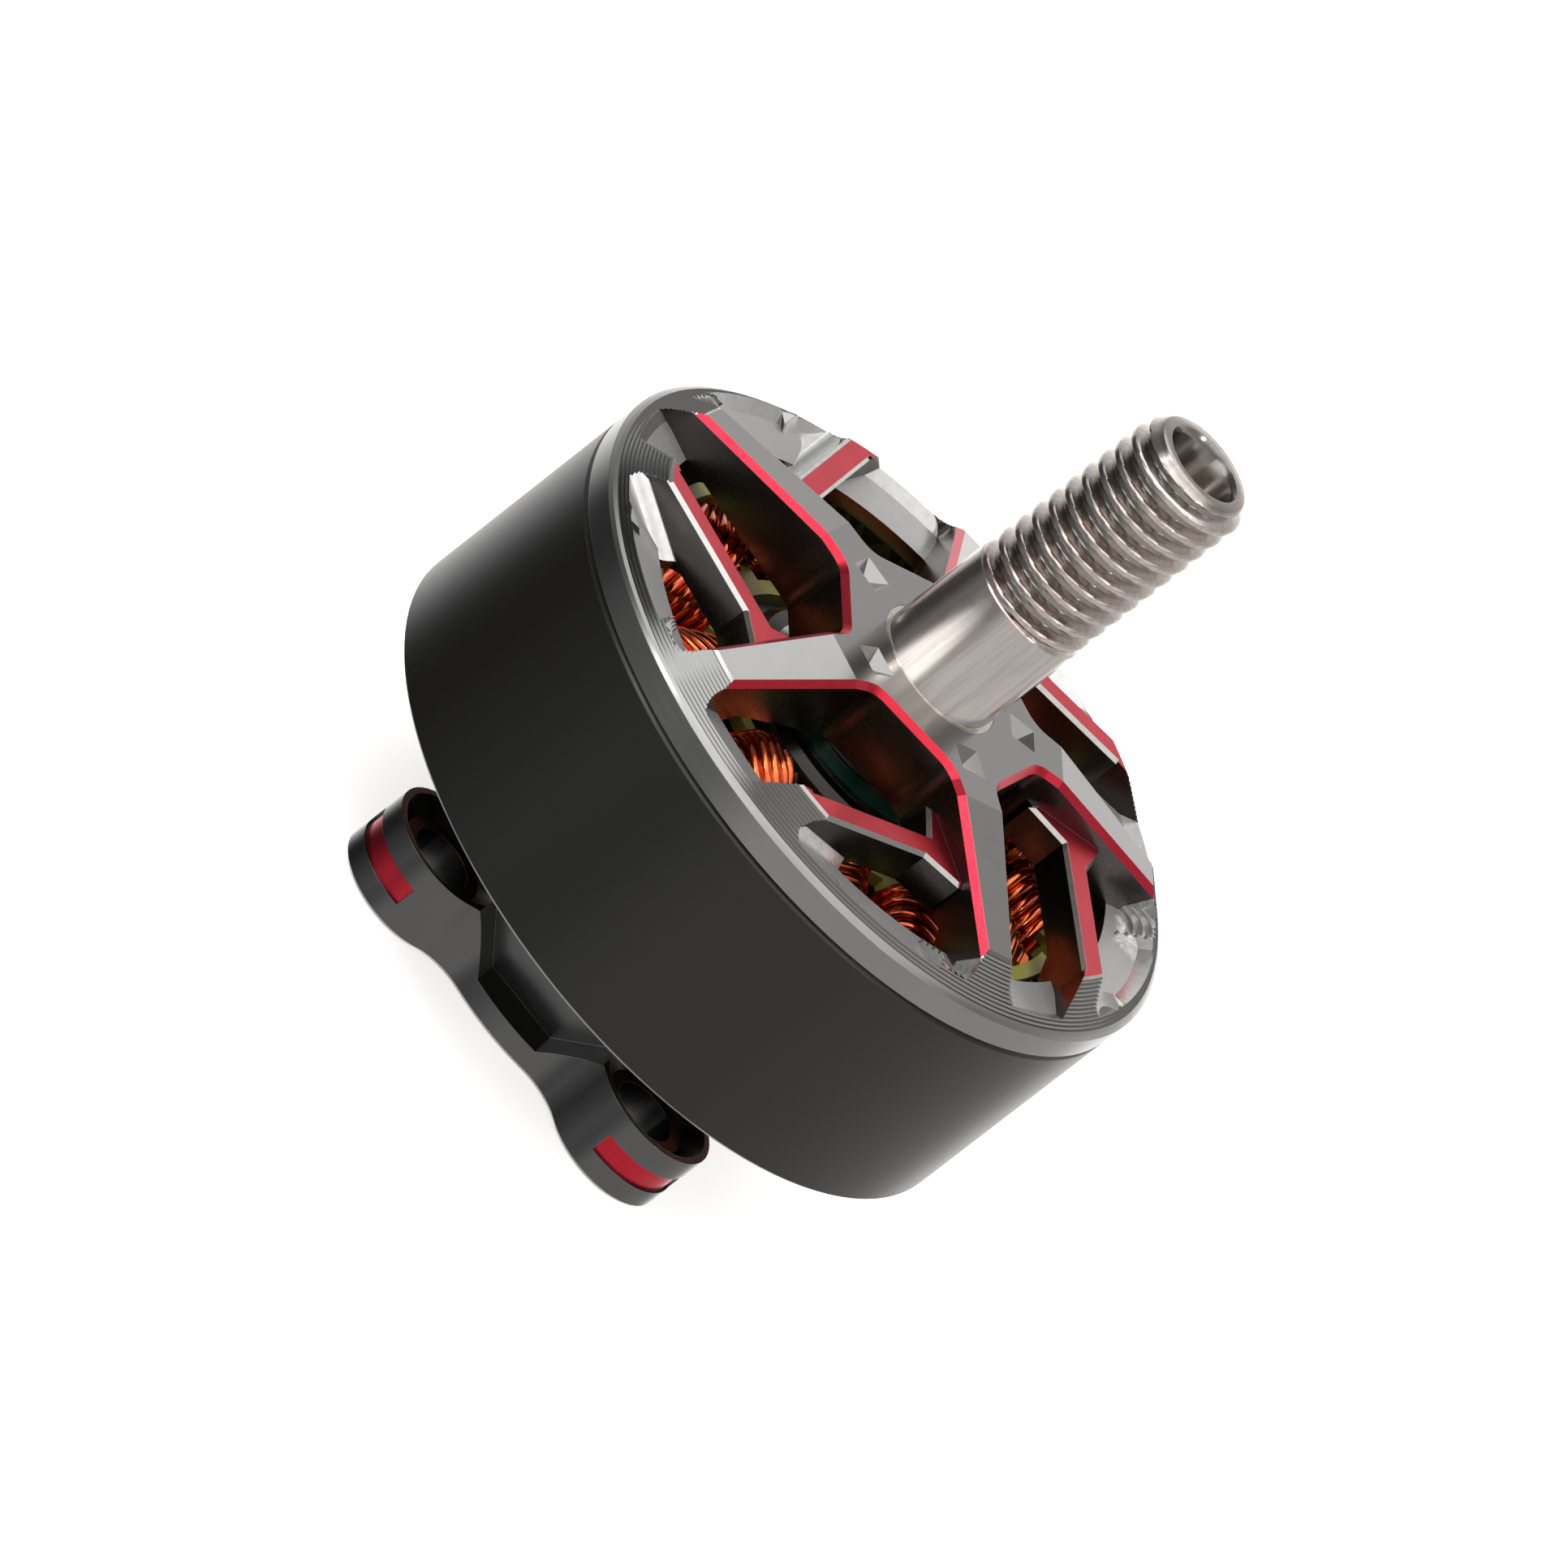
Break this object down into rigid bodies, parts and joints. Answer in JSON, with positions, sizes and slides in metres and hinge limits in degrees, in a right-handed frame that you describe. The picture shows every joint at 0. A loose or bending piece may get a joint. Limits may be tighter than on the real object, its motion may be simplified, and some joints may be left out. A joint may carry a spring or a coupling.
{
  "type": "brushless outrunner motor",
  "caption": "Small brushless outrunner motor with a spoked anodised bell, wound stator, threaded hollow shaft and a lugged mounting base.",
  "frame": {"origin": "centre of the mounting face under the base, on the shaft's axis", "axes": "+Z along the shaft, out of the bell; the four mounting lugs stand on the diagonals between X and Y"},
  "size_m": [0.0274, 0.0274, 0.0318],
  "materials": {
    "base_metal": "dark grey anodised, satin, with red engraved marks",
    "lamination": "stacked laminations under a thin dark epoxy coat",
    "insulator": "olive moulded end insulator",
    "ring_steel": "black coated machined steel, satin",
    "cap_metal": "gunmetal anodised and machined, with red bevels and struts",
    "shaft_steel": "polished stainless steel",
    "fastener_steel": "black oxide",
    "winding": "enamelled copper wire, glossy",
    "magnet_plate": "nickel plated",
    "bearing_steel": "ground steel",
    "ball_steel": "polished steel",
    "cage_steel": "pressed steel",
    "seal_rubber": "teal moulded rubber"
  },
  "bodies": {
    "stator": {"base": "base_metal", "coil_01": "winding", "coil_02": "winding", "coil_03": "winding", "coil_04": "winding", "coil_05": "winding", "coil_06": "winding", "coil_07": "winding", "coil_08": "winding", "coil_09": "winding", "coil_10": "winding", "coil_11": "winding", "coil_12": "winding", "lower_bearing_lower_seal": "seal_rubber", "lower_bearing_outer_race": "bearing_steel", "lower_bearing_upper_seal": "seal_rubber", "lower_insulator": "insulator", "stator_core": "lamination", "upper_bearing_lower_seal": "seal_rubber", "upper_bearing_outer_race": "bearing_steel", "upper_bearing_upper_seal": "seal_rubber", "upper_insulator": "insulator"},
    "rotor": {"bell_cap": "cap_metal", "flux_ring": "ring_steel", "magnet_01": "magnet_plate", "magnet_02": "magnet_plate", "magnet_03": "magnet_plate", "magnet_04": "magnet_plate", "magnet_05": "magnet_plate", "magnet_06": "magnet_plate", "magnet_07": "magnet_plate", "magnet_08": "magnet_plate", "magnet_09": "magnet_plate", "magnet_10": "magnet_plate", "magnet_11": "magnet_plate", "magnet_12": "magnet_plate", "magnet_13": "magnet_plate", "magnet_14": "magnet_plate", "shaft": "shaft_steel", "thrust_spacer": "shaft_steel", "retaining_washer": "fastener_steel", "retaining_screw": "fastener_steel", "lower_bearing_inner_race": "bearing_steel", "upper_bearing_inner_race": "bearing_steel"},
    "lower_balls": {"lower_bearing_balls": "ball_steel", "lower_bearing_cage": "cage_steel"},
    "upper_balls": {"upper_bearing_balls": "ball_steel", "upper_bearing_cage": "cage_steel"}
  },
  "joints": [
    {"name": "rotor_spin", "type": "hinge", "parent": "stator", "child": "rotor", "pos_m": [0, 0, 0.0108], "axis": [0, 0, 1], "continuous": true},
    {"name": "lower_balls_orbit", "type": "hinge", "parent": "stator", "child": "lower_balls", "pos_m": [0, 0, 0.0036], "axis": [0, 0, 1], "continuous": true},
    {"name": "upper_balls_orbit", "type": "hinge", "parent": "stator", "child": "upper_balls", "pos_m": [0, 0, 0.0133], "axis": [0, 0, 1], "continuous": true}
  ],
  "couplings": [
    {"joint": "lower_balls_orbit", "follows": "rotor_spin", "ratio": 0.38461},
    {"joint": "upper_balls_orbit", "follows": "rotor_spin", "ratio": 0.38461}
  ]
}
